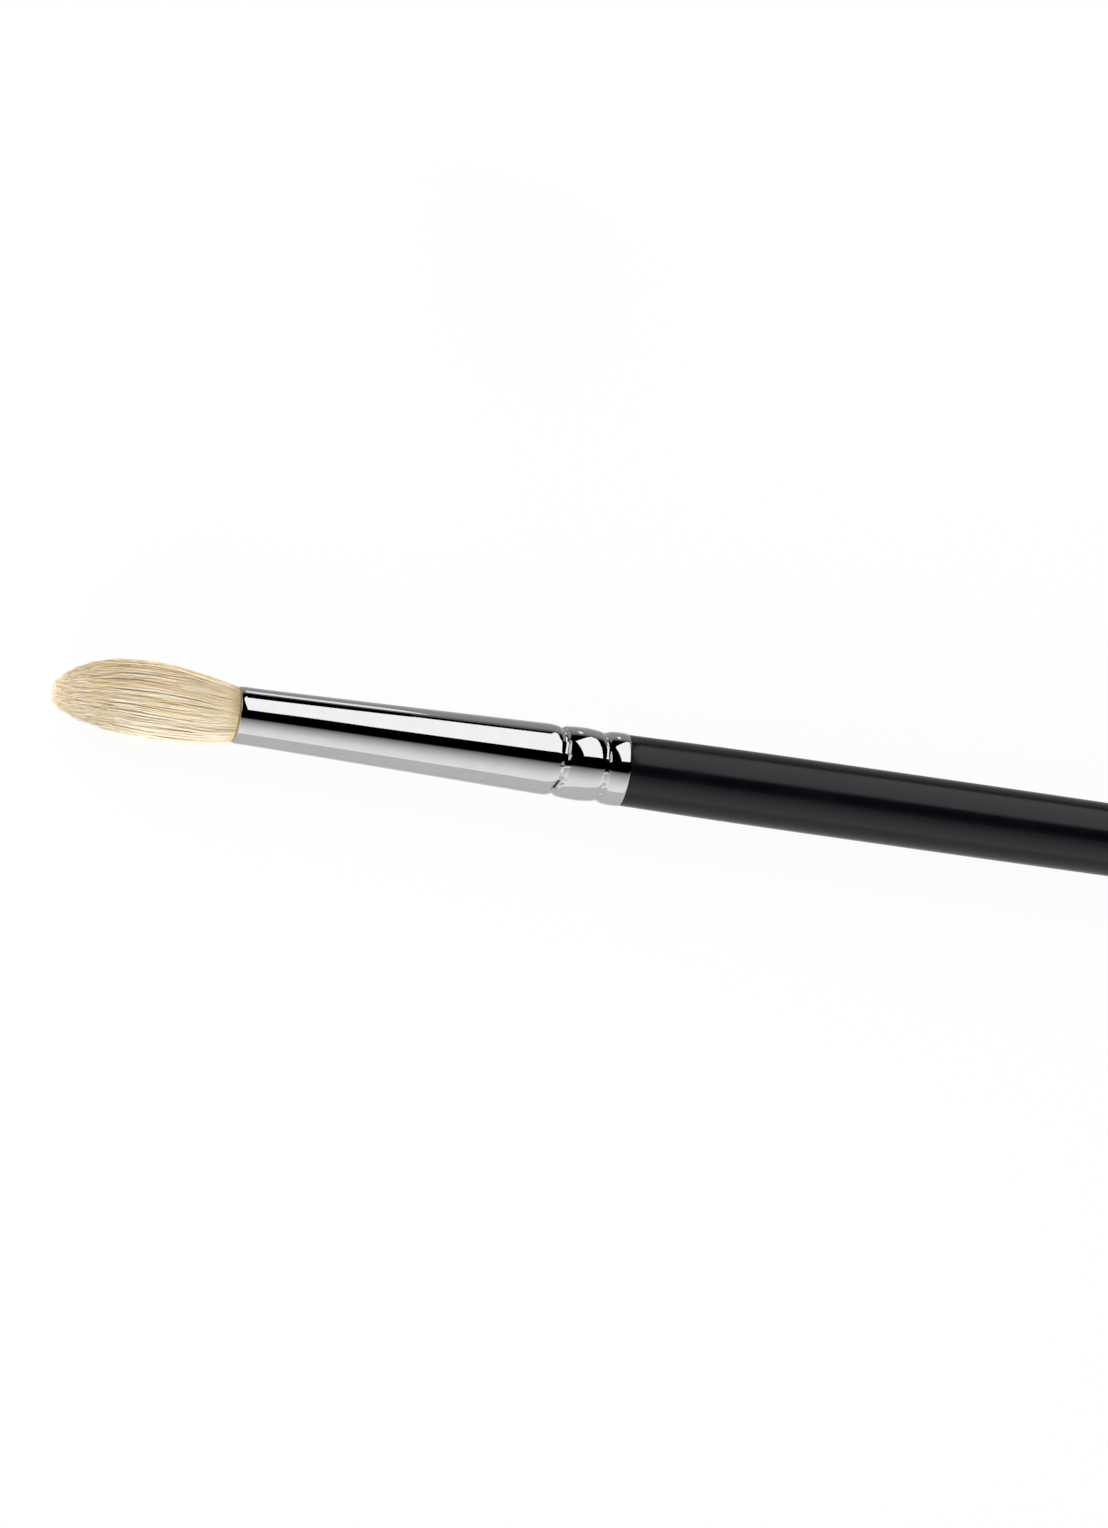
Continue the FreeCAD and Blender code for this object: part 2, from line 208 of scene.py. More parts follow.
def hair_mesh(paths):
    """Three-sided tubes round the paths, and a flat map of them for baking. Each tube thins to a quarter by a
    power of the way along it, and both of its ends are closed. On the map each hair has a square of its own
    with a margin, in which its sides lie side by side and its ends take half a row."""
    count, points = paths.shape[:2]
    half = hair_width / 2 * (1 - hair_thinning * hair_steps ** thinning_power)
    turn = random.uniform(0, 2 * np.pi, (count, 1)) + np.arange(3) * 2 * np.pi / 3
    ring = np.stack([0 * turn, np.cos(turn), np.sin(turn)], axis=-1)
    places = paths[:, :, None] + ring[:, None] * half[None, :, None, None]

    hair, point, side = np.ogrid[:count, :points - 1, :3]
    cap = hair[:, 0, 0]
    at = np.concatenate([
        corners_of(hair, (point, side), (point, side + 1), (point + 1, side + 1)),
        corners_of(hair, (point, side), (point + 1, side + 1), (point + 1, side)),
        corners_of(cap, (0, 2), (0, 1), (0, 0)),
        corners_of(cap, (points - 1, 0), (points - 1, 1), (points - 1, 2))])
    faces = (at[..., 0] * points + at[..., 1]) * 3 + at[..., 2] % 3

    squares = math.ceil(math.sqrt(count))
    margin = 0.1
    row = at[..., 1].astype(float)
    row[-2 * count:-count, 1] -= 0.5
    row[-count:, 1] += 0.5
    flat = np.stack([
        at[..., 0] % squares + margin + (1 - 2 * margin) * at[..., 2] / 3,
        at[..., 0] // squares + margin + (1 - 2 * margin) * row / (points - 1)], axis=-1) / squares
    return places.reshape(-1, 3), faces, flat


def new_piece(name, points, faces, slot_name, material, *nodes):
    """A smooth piece from an array of points in metres and an array of faces with as many corners each. It
    rides on the brush's one body, with the nodes that it stands for. Its slot name is not used."""
    mesh = bpy.data.meshes.new(name)
    corners = faces.shape[1]
    mesh.vertices.add(len(points))
    mesh.vertices.foreach_set("co", points.astype(np.float32).ravel())
    mesh.loops.add(faces.size)
    mesh.loops.foreach_set("vertex_index", faces.astype(np.int32).ravel())
    mesh.polygons.add(len(faces))
    mesh.polygons.foreach_set("loop_start", np.arange(0, faces.size, corners, dtype=np.int32))
    mesh.polygons.foreach_set("use_smooth", np.ones(len(faces), dtype=bool))
    mesh.update(calc_edges=True)
    piece = bpy.data.objects.new(name, mesh)
    bpy.context.scene.collection.objects.link(piece)
    mesh.materials.append(material)
    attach(piece, "root")
    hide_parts(*nodes)
    return piece


def weld(mesh):
    """Joins points that lie on one another, such as those of a row that ends on the axis."""
    shape = bmesh.new()
    shape.from_mesh(mesh)
    bmesh.ops.remove_doubles(shape, verts=shape.verts, dist=1e-7)
    shape.to_mesh(mesh)
    shape.free()


def turned_piece(name, along, radius, sides, slot_name, material, *nodes):
    """A surface of revolution round the brush's axis, from distances behind the mouth and the radius at each,
    or at each and at each side. An outline that doesn't come back to its start ends on the axis, where it is
    closed."""
    angle = np.arange(sides) * 2 * np.pi / sides
    along = np.asarray(along, float)[:, None]
    radius = np.broadcast_to(np.asarray(radius, float).reshape(len(along), -1), (len(along), sides))
    points = np.stack([
        mouth + along + 0 * radius, -radius * np.cos(angle), axis_height + radius * np.sin(angle)], axis=-1)
    closed = np.allclose(points[0], points[-1])
    rows = len(points) - 1 if closed else len(points)
    row, side = np.arange(rows if closed else rows - 1)[:, None], np.arange(sides)[None, :]
    after, beside = (row + 1) % rows, (side + 1) % sides
    corners = [row * sides + side, after * sides + side, after * sides + beside, row * sides + beside]
    faces = np.stack(np.broadcast_arrays(*corners), axis=-1).reshape(-1, 4)
    piece = new_piece(name, points[:rows].reshape(-1, 3), faces, slot_name, material, *nodes)
    weld(piece.data)
    return piece


def read_points(mesh):
    """The places of a mesh's points, a row for each."""
    places = np.empty(len(mesh.vertices) * 3)
    mesh.vertices.foreach_get("co", places)
    return places.reshape(-1, 3)


def adder(tree):
    """A function that adds a node to a tree, with its settings, and with a value or a socket for each
    input."""
    def add(kind, inputs, **settings):
        node = tree.nodes.new(kind)
        for key, value in settings.items():
            setattr(node, key, value)
        for key, value in inputs.items():
            if isinstance(value, bpy.types.NodeSocket):
                tree.links.new(value, node.inputs[key])
            else:
                node.inputs[key].default_value = value
        return node
    return add


def new_material(name):
    """A material, its Principled BSDF and its adder of nodes."""
    material = bpy.data.materials.new(name)
    material.use_nodes = True
    return material, material.node_tree.nodes["Principled BSDF"], adder(material.node_tree)


def link(socket, shader, name):
    """Joins a socket to the shader's input of that name."""
    socket.id_data.links.new(socket, shader.inputs[name])


def ramp(node, *stops):
    """Sets a Color Ramp's stops, each a place and a colour, and gives its colour output."""
    elements = node.color_ramp.elements
    while len(elements) < len(stops):
        elements.new(1)
    for element, (place, colour) in zip(elements, stops):
        element.position = place
        element.color = (*colour, 1)
    return node.outputs["Color"]


def make_goat_hair():
    """Cream hair. Each hair has a tone of its own. Near the roots it is painted ochre, a painted light for
    the light that comes through it, and right at the rim it is painted dark, as painted shade."""
    material, shader, add = new_material("goat_hair")
    marks = add("ShaderNodeAttribute", {}, attribute_name="hair_tone_and_painted_shade")
    parts = add("ShaderNodeSeparateColor", {0: marks.outputs["Color"]})
    # The lowest tones, which deep and packed hair reach by painted shade, are a saturated ochre.
    cream = ramp(
        add("ShaderNodeValToRGB", {0: parts.outputs["Red"]}),
        (0.0, (0.84, 0.63, 0.31)), (0.35, (0.86, 0.68, 0.39)), (0.7, (0.88, 0.74, 0.52)),
        (1.0, (0.92, 0.83, 0.68)))
    shade = ramp(
        add("ShaderNodeValToRGB", {0: parts.outputs["Green"]}),
        (0.0, (1.0, 1.0, 1.0)), (0.3, (0.95, 0.89, 0.74)), (1.0, (0.20, 0.16, 0.12)))
    shaded = add("ShaderNodeMix", {0: 1.0, 6: cream, 7: shade}, data_type="RGBA", blend_type="MULTIPLY")
    link(shaded.outputs[2], shader, "Base Color")
    shader.inputs["Roughness"].default_value = 0.55
    shader.inputs["Specular IOR Level"].default_value = 0.20
    return material


def painted_root_shade(share):
    """How much painted shade a share of the hair's length has: a little near the roots, which the material
    turns ochre as painted light through the hair, and all of it right at the rim."""
    return sum(strength * (1 - ease(share, first, last)) for strength, first, last in painted_root_shades)


def mark_hair(mesh, tone, shade):
    """Writes each point's tone, and its painted light and shade near the roots, where the material reads
    them.
    """
    marks = mesh.color_attributes.new("hair_tone_and_painted_shade", "FLOAT_COLOR", "POINT")
    values = np.stack([tone, shade, 0 * tone, 0 * tone + 1], axis=-1)
    marks.data.foreach_set("color", values.astype(np.float32).ravel())


goat_hair = make_goat_hair()
paths, shares, tones = hair_paths(hairs_per_piece * hair_pieces)
for n in range(hair_pieces):
    own = slice(n * hairs_per_piece, (n + 1) * hairs_per_piece)
    points, faces, flat = hair_mesh(paths[own])
    piece = new_piece(f"tuft_hair_{n + 1}", points, faces, "natural_hair", goat_hair, "hair_tuft")
    piece.data.uv_layers.new(name="OFBake").data.foreach_set("uv", flat.astype(np.float32).ravel())
    # Each point's tone, and its painted light and shade near the roots.
    share, tone = (np.repeat(values[own].reshape(-1), 3) for values in (shares, tones))
    mark_hair(piece.data, tone, painted_root_shade(share))

# Where the hair is packed, its radius in the tuft is a share of the tuft's own, which falls with the fourth
# power of the way out. In the ferrule it fills the bore, gathers into the waist at the tie and is cut square.
packed_out_share = 0.90
packed_fill, packed_fall = 0.955, 0.33
root_length = tuft_high.x - mouth
tie_at, waist_length, gather_length = 11.0 * mm, 3.4 * mm, 2.2 * mm
full_radius, waist_radius, cut_radius = 2.30 * mm, 1.75 * mm, 1.95 * mm
waist_start, waist_end = tie_at - waist_length / 2, tie_at + waist_length / 2
root_outline = np.array([
    (0.2 * mm, 2.12 * mm), (0.5 * mm, bore_radius), (waist_start - gather_length, full_radius),
    (waist_start, waist_radius), (waist_end, waist_radius), (root_length, cut_radius), (root_length, 0)])
packed_sides = 96
packed_share = np.linspace(packed_out_share, 0, 40)
packed_along = np.concatenate([-packed_share * hair_out, root_outline[:, 0]])
packed_radius = np.concatenate([
    (packed_fill - packed_fall * packed_share ** 4) * tuft_radius(packed_share), root_outline[:, 1]])
packed_radius[0] = 0
packed = turned_piece(
    "packed_hair", packed_along, packed_radius, packed_sides, "natural_hair", goat_hair, "hair_tuft")
packed_points = read_points(packed.data)
packed_at = (mouth - packed_points[:, 0]) / hair_out
packed_points[:, 1] += tuft_middle(packed_at)
packed.data.vertices.foreach_set("co", packed_points.ravel())
# The packed hair takes a dark tone: painted shade in the gaps between wisps.
mark_hair(packed.data, np.full(len(packed_at), packed_painted_shade_tone), painted_root_shade(packed_at))


# The ferrule, in millimetres. One seamless tube, drawn to a taper, polished and nickel plated. Its lip is
# burnished inwards over the hair, and its rear end is crimped into the handle by a ring of jaws, twice. It
# was a little askew in the front jaws, so the crimp drifts round the tube and a short crease is folded there.
ferrule_length = (ferrule_high.x - ferrule_low.x) / mm
wall = 0.22
mouth_radius, body_end_radius = 2.53, 3.14
lip_turn_in, lip_turn_length = 0.024, 0.84      # of the burnished stretch
lip_edge_drop, lip_edge_length = 0.010, 0.06    # of its very edge
taper_start = 0.66
taper_flat_length = 2.6                         # until the mouth's flat line meets the line of the slope
body_crown_length, body_crown_radius = 1.09, 5.6
end_bead_length, middle_bead_length = 2.10, 3.68
end_bead_radius, middle_bead_radius = 3.24, 3.22
end_crown_radius, middle_crown_radius = 7.4, 9.0    # of the beads' curve along the tube
end_crest_at, middle_crest_at = ferrule_length - 0.62, ferrule_length - 3.98
bead_crown_drop = 0.10                          # from the bead's crest to its shoulder
rear_edge_radius, rear_edge_chamfer = 3.17, 0.10
front_crimp_radius, rear_crimp_radius = 2.90, 2.98
crimp_bottom_length, crimp_flank_length, body_flank_length = 0.24, 0.26, 0.27
rear_crimp_at = ferrule_length - end_bead_length
front_crimp_at = rear_crimp_at - middle_bead_length
body_end_at = front_crimp_at - crimp_bottom_length / 2 - body_flank_length
taper_end = body_end_at - body_crown_length
crimps_start = taper_end - 1                    # in front of it the tube is the taper alone
edge_rounding, joint_rounding, crimp_rounding, shoulder_rounding = 0.006, 0.01, 0.012, 0.02

jaws = 16
jaw_ridge_width, jaw_ridge_height = 0.14, 0.05
jaw_skew, skew_length = 0.12, 0.5               # from one end of a jaw to the other
drift_length = 1.2                              # how far along the tube the drift is felt
crimp_drift = [                                 # degrees up from the near side, and mm towards the rear
    (19, -0.58), (25, -0.50), (37, -0.10), (45, 0.0), (105, 0.0), (135, -0.08), (165, -0.20), (205, -0.24),
    (255, -0.20), (305, -0.28), (345, -0.36)]
crease_first, crease_last, crease_fade = math.radians(14), math.radians(44), math.radians(5.73)
crease_first_at, crease_last_at = front_crimp_at - 0.62, front_crimp_at - 0.30
# The last is how wide the crease is painted dark, as painted shade.
crease_depth, crease_width, crease_painted_shade_width = 0.15, 0.08, 0.18


def soft_low(a, b, rounding):
    """The lower of two, rounded where they cross."""
    return -rounding * np.logaddexp(-a / rounding, -b / rounding)


def soft_high(a, b, rounding):
    """The higher of two, rounded where they cross."""
    return rounding * np.logaddexp(a / rounding, b / rounding)


def taper(along):
    """A parabola that leaves the mouth flat and settles into a straight slope."""
    length, flat = taper_end - taper_start, 2 * taper_flat_length
    bend = length - flat
    way = np.clip(along - taper_start, 0, length)
    share = (np.sqrt(flat * flat + 4 * bend * way) - flat) / (2 * bend)
    return mouth_radius + (body_end_radius - mouth_radius) * share ** 2


def body_crown(along):
    """The taper, which behind its end runs on at the same slope less a parabola."""
    past = np.clip(along - taper_end, 0, None)
    end_slope = (body_end_radius - mouth_radius) / (taper_end - taper_start - taper_flat_length)
    return taper(along) + end_slope * past - past ** 2 / (2 * body_crown_radius)


def slope(along, start, end):
    """The height of the straight line through two points, each a distance and a radius."""
    return start[1] + (along - start[0]) * (end[1] - start[1]) / (end[0] - start[0])


def in_crease(along, angle, width):
    """How near a place is to the crease's slanting middle line: 1 on it, falling off as a Gaussian, and 0
    past its ends."""
    begun = ease(angle, crease_first, crease_first + crease_fade)
    ended = ease(angle, crease_last - crease_fade, crease_last)
    middle = np.interp(angle, (crease_first, crease_last), (crease_first_at, crease_last_at))
    return begun * (1 - ended) * np.exp(-((along - middle) / width) ** 2)


def ferrule_outside(along, angle):
    """The taper, the two crowned beads and the crimps between them, as lines and parabolas that are cut off
    by one another with rounded corners. Ridges stand in a crimp where two jaws met, and each jaw sits a
    little skew. The front crimp drifts forwards with the angle, and the crease is a dent in front of it."""
    crease = crease_depth * in_crease(along, angle, crease_width)
    phase = angle * jaws / (2 * np.pi)
    jaw = phase - np.floor(phase) - 0.5
    to_edge = (0.5 - np.abs(jaw)) * 2 * np.pi * front_crimp_radius / jaws
    ridge = jaw_ridge_height * np.exp(-(to_edge / (jaw_ridge_width / 2)) ** 2)
    drift_turns, drifts = np.array(crimp_drift).T
    drift = np.interp(angle, np.radians(drift_turns), drifts, period=2 * np.pi)
    along = along - drift * np.exp(-((along - front_crimp_at) / drift_length) ** 2)
    along = along - jaw_skew * jaw * np.exp(-((along - front_crimp_at) / skew_length) ** 2)

    half = crimp_bottom_length / 2
    flank = half + crimp_flank_length
    middle_crown = middle_bead_radius - (along - middle_crest_at) ** 2 / (2 * middle_crown_radius)
    end_crown = end_bead_radius - (along - end_crest_at) ** 2 / (2 * end_crown_radius)
    middle_shoulder, end_shoulder = middle_bead_radius - bead_crown_drop, end_bead_radius - bead_crown_drop
    body = soft_low(body_crown(along), slope(
        along, (body_end_at, body_crown(body_end_at)), (front_crimp_at - half, front_crimp_radius)),
        crimp_rounding)
    middle = soft_low(middle_crown, slope(
        along, (front_crimp_at + half, front_crimp_radius), (front_crimp_at + flank, middle_shoulder)),
        shoulder_rounding)
    middle = soft_low(middle, slope(
        along, (rear_crimp_at - half, rear_crimp_radius), (rear_crimp_at - flank, middle_shoulder)),
        shoulder_rounding)
    end = soft_low(end_crown, slope(
        along, (rear_crimp_at + half, rear_crimp_radius), (rear_crimp_at + flank, end_shoulder)),
        shoulder_rounding)
    end = soft_low(end, slope(
        along, (ferrule_length - rear_edge_chamfer, end_bead_radius - bead_crown_drop / 5),
        (ferrule_length, rear_edge_radius)), edge_rounding)
    is_front = along < (front_crimp_at + rear_crimp_at) / 2
    bottom = np.where(is_front, front_crimp_radius, rear_crimp_radius) + ridge
    radius = soft_high(soft_high(body, middle, joint_rounding), end, joint_rounding)
    radius = soft_high(radius, bottom, crimp_rounding)
    return np.where(along < crimps_start, taper(along), radius) - crease


def make_nickel():
    """Polished nickel: a mirror with the faintest haze, and shallow waves that the drawing left along the
    tube. Hardly any light comes out of the crease, so its colour is painted nearly black there as painted
    shade."""
    material, shader, add = new_material("polished_nickel")
    place = add("ShaderNodeTexCoord", {}).outputs["Object"]
    long_way = add("ShaderNodeMapping", {"Vector": place, "Scale": (60, 900, 900)}).outputs["Vector"]
    drawn = add("ShaderNodeTexNoise", {"Vector": long_way, "Scale": 1.0, "Detail": 2.0}).outputs["Fac"]
    haze = add("ShaderNodeTexNoise", {"Vector": place, "Scale": 900.0, "Detail": 3.0}).outputs["Fac"]
    tint = ramp(
        add("ShaderNodeValToRGB", {0: haze}), (0.3, (0.655, 0.655, 0.665)), (0.7, (0.690, 0.690, 0.695)))
    # Painted shade: the crease's colour is darkened nearly to black.
    crease = add("ShaderNodeAttribute", {}, attribute_name="crease_painted_shade").outputs["Fac"]
    dimmed = add("ShaderNodeMix", {0: crease, 6: tint, 7: (0.03, 0.03, 0.03, 1)}, data_type="RGBA")
    link(dimmed.outputs[2], shader, "Base Color")
    rough = add("ShaderNodeMapRange", {0: haze, 1: 0.3, 2: 0.7, 3: 0.018, 4: 0.034})
    link(rough.outputs[0], shader, "Roughness")
    bump = add("ShaderNodeBump", {"Height": drawn, "Strength": 0.06, "Distance": 0.00002})
    link(bump.outputs["Normal"], shader, "Normal")
    shader.inputs["Metallic"].default_value = 1.0
    return material


# The outside has rows close together at the lip and the crimps. The lip turns in with the cube of the way to
# its edge, and once more by an exponential at the edge. Its nose is a half circle across the wall.
ferrule_sides = 360
ferrule_angle = (np.arange(ferrule_sides) * 2 * np.pi / ferrule_sides)[None, :]
outside_along = np.concatenate([np.linspace(first, last, rows) for first, last, rows in (
    (wall / 2, 0.6, 30), (0.7, 1.7, 11), (2.2, taper_end - 1.2, 24),
    (taper_end - 0.9, front_crimp_at - 1.02, 14), (front_crimp_at - 0.99, front_crimp_at + 0.58, 52),
    (front_crimp_at + 0.63, rear_crimp_at - 0.70, 30), (rear_crimp_at - 0.65, rear_crimp_at + 0.70, 27),
    (rear_crimp_at + 0.75, ferrule_length, 27))])[:, None]
behind_lip = outside_along - wall / 2
lip = lip_turn_in * np.clip(1 - behind_lip / lip_turn_length, 0, 1) ** 3
lip = lip + lip_edge_drop * np.exp(-behind_lip / lip_edge_length)
outside = ferrule_outside(outside_along, ferrule_angle) - lip
nose_turn = np.linspace(math.pi / 2, -math.pi / 2, 13)[1:-1][:, None]
nose_along = wall / 2 - wall / 2 * np.cos(nose_turn)
nose = mouth_radius - lip[0, 0] - wall / 2 + wall / 2 * np.sin(nose_turn) + 0 * ferrule_angle
inside_along = outside_along[::6][::-1]
inside = (outside - wall)[::6][::-1]
rim_along = np.array([[ferrule_length]])
ferrule_along = np.concatenate([nose_along[::-1], outside_along, rim_along, inside_along, nose_along[-1:]])
ferrule_radius = np.concatenate([nose[::-1], outside, outside[-1:] - wall, inside, nose[-1:]])
nickel = make_nickel()
tube = turned_piece(
    "ferrule_tube", ferrule_along[:, 0] * mm, ferrule_radius * mm, ferrule_sides, "nickel_plate", nickel,
    "ferrule")
x, y, z = read_points(tube.data).T
# Marks the crease for painted shade, which the material paints nearly black.
crease_painted_shade = in_crease((x - mouth) / mm, np.arctan2(z - axis_height, -y), crease_painted_shade_width)
painted_shade_marks = tube.data.attributes.new("crease_painted_shade", "FLOAT", "POINT")
painted_shade_marks.data.foreach_set("value", crease_painted_shade.astype(np.float32))


# The handle, in millimetres. Turned from one stick of hardwood with a tenon for the ferrule, then dipped in
# several coats of black lacquer and rubbed to a satin, which leaves a faint orange peel.
handle_low, handle_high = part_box("handle")
handle_end = (handle_high.x - ferrule_low.x) / mm
tenon_start = (handle_low.x - ferrule_low.x) / mm
fit_gap, glue_line = 0.02, 0.15
tenon_chamfer, shoulder_chamfer = 0.5, 0.12
shoulder_radius, handle_belly_radius, butt_radius = 3.14, 3.25, 2.15
neck_length, belly_length = 15.5, 9.0
shoulder_at = ferrule_length + fit_gap
belly_end = ferrule_length + neck_length + belly_length
butt_middle = handle_end - butt_radius
handle_sides = 192


def make_lacquer():
    """Satin black lacquer: nearly black, with a fine peel and a haze that changes a little from place to
    place."""
    material, shader, add = new_material("satin_black_lacquer")
    place = add("ShaderNodeTexCoord", {}).outputs["Object"]
    cloud = add("ShaderNodeTexNoise", {"Vector": place, "Scale": 260.0, "Detail": 4.0}).outputs["Fac"]
    peel = add("ShaderNodeTexNoise", {"Vector": place, "Scale": 2600.0, "Detail": 2.0}).outputs["Fac"]
    tint = ramp(
        add("ShaderNodeValToRGB", {0: cloud}),
        (0.3, (0.0016, 0.0017, 0.0023)), (0.7, (0.0026, 0.0027, 0.0035)))
    link(tint, shader, "Base Color")
    rough = add("ShaderNodeMapRange", {0: cloud, 1: 0.3, 2: 0.7, 3: 0.19, 4: 0.24})
    link(rough.outputs[0], shader, "Roughness")
    bump = add("ShaderNodeBump", {"Height": peel, "Strength": 0.25, "Distance": 0.00001})
    link(bump.outputs["Normal"], shader, "Normal")
    shader.inputs["IOR"].default_value = 1.45
    shader.inputs["Specular Tint"].default_value = (0.95, 0.97, 1.0, 1)
    return material


# The tenon leaves room for the glue under the taper and is cut to the deepest place of each crimp. The
# shoulder is rounded, the neck swells with a parabola, and the tail is an arc that runs into the butt's
# circle without a corner, which sets its radius.
seat = wall + fit_gap                           # from the tube's outside to the wood that it grips
tenon_along = np.concatenate([
    [tenon_start, tenon_start, tenon_start + tenon_chamfer], np.linspace(tenon_start + 1, taper_end, 8)])
tenon_radius = taper(tenon_along) - seat - glue_line - fit_gap
tenon_radius[:2] = 0, tenon_radius[1] - tenon_chamfer
locked_along = np.linspace(taper_end, ferrule_length, 90)
locked_radius = np.min(ferrule_outside(locked_along[:, None], ferrule_angle), axis=1) - seat
shoulder_turn = np.linspace(0, math.pi / 2, 7)
shoulder_along = shoulder_at + shoulder_chamfer * (1 - np.cos(shoulder_turn))
shoulder_rise = shoulder_radius - shoulder_chamfer * (1 - np.sin(shoulder_turn))
neck = np.linspace(0, 1, 24)[1:]
neck_along = shoulder_along[-1] + neck * (ferrule_length + neck_length - shoulder_along[-1])
neck_radius = shoulder_radius + (handle_belly_radius - shoulder_radius) * (1 - (1 - neck) ** 2)
tail_length = butt_middle - belly_end
tail_fall = handle_belly_radius - butt_radius
tail_arc_radius = (tail_length ** 2 + handle_belly_radius ** 2 - butt_radius ** 2) / (2 * tail_fall)
tail_turn = math.atan2(tail_length, tail_arc_radius - handle_belly_radius)
tail = np.linspace(0, tail_turn, 70)
tail_along = belly_end + tail_arc_radius * np.sin(tail)
tail_radius = handle_belly_radius - tail_arc_radius * (1 - np.cos(tail))
butt = np.linspace(tail_turn, math.pi / 2, 30)[1:]
handle_along = np.concatenate([
    tenon_along, locked_along, [shoulder_at], shoulder_along, neck_along, tail_along,
    butt_middle + butt_radius * np.sin(butt)])
handle_radius = np.concatenate([
    tenon_radius, locked_radius, [locked_radius[-1]], shoulder_rise, neck_radius, tail_radius,
    butt_radius * np.cos(butt)])
handle_radius[-1] = 0
lacquer = make_lacquer()
turned_piece(
    "lacquered_handle", handle_along * mm, handle_radius * mm, handle_sides, "black_lacquer", lacquer,
    "handle")


# What nobody sees: the cotton thread that ties the roots, the amber resin that sets them and the glue on the
# tenon.
def make_plain(name, first, second, scale, roughness):
    """A clouded colour between two, for pieces inside the ferrule."""
    material, shader, add = new_material(name)
    place = add("ShaderNodeTexCoord", {}).outputs["Object"]
    cloud = add("ShaderNodeTexNoise", {"Vector": place, "Scale": scale, "Detail": 4.0}).outputs["Fac"]
    link(ramp(add("ShaderNodeValToRGB", {0: cloud}), (0.35, first), (0.65, second)), shader, "Base Color")
    shader.inputs["Roughness"].default_value = roughness
    return material


for node, finish in {
    "root_thread": make_plain("cotton_thread", (0.66, 0.62, 0.54), (0.76, 0.73, 0.66), 4000.0, 0.85),
    "root_resin": make_plain("amber_resin", (0.55, 0.42, 0.20), (0.66, 0.54, 0.29), 700.0, 0.20),
    "tenon_glue": make_plain("wood_glue", (0.64, 0.54, 0.35), (0.74, 0.65, 0.46), 900.0, 0.60),
}.items():
    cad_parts[node].data.materials.clear()
    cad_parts[node].data.materials.append(finish)


# The studio. An octagonal softbox hangs over the far side, with a small lamp beyond it and another off the
# tuft's end that only mirrors show. A black flag close to the mouth cuts the softbox off there. The ceiling
# over the camera is black, and the wall on the near side is pale and darkens towards it.
camera_height_angle = math.radians(75)
card_distance, flag_distance = 1.4, 0.06


def direction(sideways, upwards):
    """A direction in the world from two angles in degrees: sideways to +X, and turned about X away from the
    camera's height towards +Y."""
    sideways, upwards = math.radians(sideways), camera_height_angle + math.radians(upwards)
    return Vector((
        math.sin(sideways), -math.cos(sideways) * math.cos(upwards), math.cos(sideways) * math.sin(upwards)))


def light_card(name, centre, corners, distance, strength, eye_at=front_crimp_at * mm):
    """A flat card that glows white, square to the line from a place on the axis to its centre, whose corners
    are given as directions from there. With a strength of 0 it is a black flag."""
    material = bpy.data.materials.new(name)
    material.use_nodes = True
    material.node_tree.nodes.clear()
    add = adder(material.node_tree)
    glow = add("ShaderNodeEmission", {"Color": (1, 1, 1, 1), "Strength": strength}).outputs[0]
    add("ShaderNodeOutputMaterial", {"Surface": glow})
    eye = Vector((mouth + eye_at, 0, axis_height))
    facing = direction(*centre)
    ways = [direction(*corner) for corner in corners]
    points = [eye + way * (distance / way.dot(facing)) for way in ways]
    mesh = bpy.data.meshes.new(name)
    mesh.from_pydata(points, [], [tuple(range(len(points)))])
    mesh.materials.append(material)
    card = bpy.data.objects.new(name, mesh)
    bpy.context.scene.collection.objects.link(card)
    card.visible_camera = False
    card.visible_shadow = False
    return card


light_card("softbox", (16, 62), [
    (8.7, 26.5), (1.5, 72), (12, 95), (15, 102), (19, 99), (24, 75), (28, 51), (31, 31)], card_distance, 1.3)
light_card("flag", (15, 90), [(9, 77), (9, 101), (24, 101), (24, 86)], flag_distance, 0.0, eye_at=0.0)
light_card("strip_lamp", (8, 112), [
    (7.8, 109.5), (7.8, 121.5), (10.0, 121.5), (10.0, 109.5)], card_distance, 1.1)
end_lamp = light_card("end_lamp", (-50, 60), [(-35, 25), (-35, 95), (-65, 95), (-65, 25)], card_distance, 0.8)
end_lamp.visible_diffuse = False

# The floor is white paper. The camera sees it as nearly plain white, with the brush's shadow as a trace.
# Mirrors see the world's lower half in its place.
floor_half, floor_white_share = 3.0, 0.94
floor_mesh = bpy.data.meshes.new("floor")
floor_mesh.from_pydata([
    (x * floor_half, y * floor_half, 0) for x, y in ((-1, -1), (1, -1), (1, 1), (-1, 1))], [], [(0, 1, 2, 3)])
floor = bpy.data.objects.new("floor", floor_mesh)
bpy.context.scene.collection.objects.link(floor)
white = bpy.data.materials.new("white_floor")
white.use_nodes = True
white.node_tree.nodes.clear()
add = adder(white.node_tree)
seen = add("ShaderNodeLightPath", {}).outputs["Is Camera Ray"]
share = add("ShaderNodeMath", {0: seen, 1: floor_white_share}, operation="MULTIPLY").outputs[0]
paper = add("ShaderNodeBsdfDiffuse", {"Color": (0.9, 0.9, 0.9, 1)}).outputs[0]
glow = add("ShaderNodeEmission", {"Strength": 1.0}).outputs[0]
mixed = add("ShaderNodeMixShader", {0: share, 1: paper, 2: glow}).outputs[0]
add("ShaderNodeOutputMaterial", {"Surface": mixed})
floor_mesh.materials.append(white)
floor.visible_glossy = False

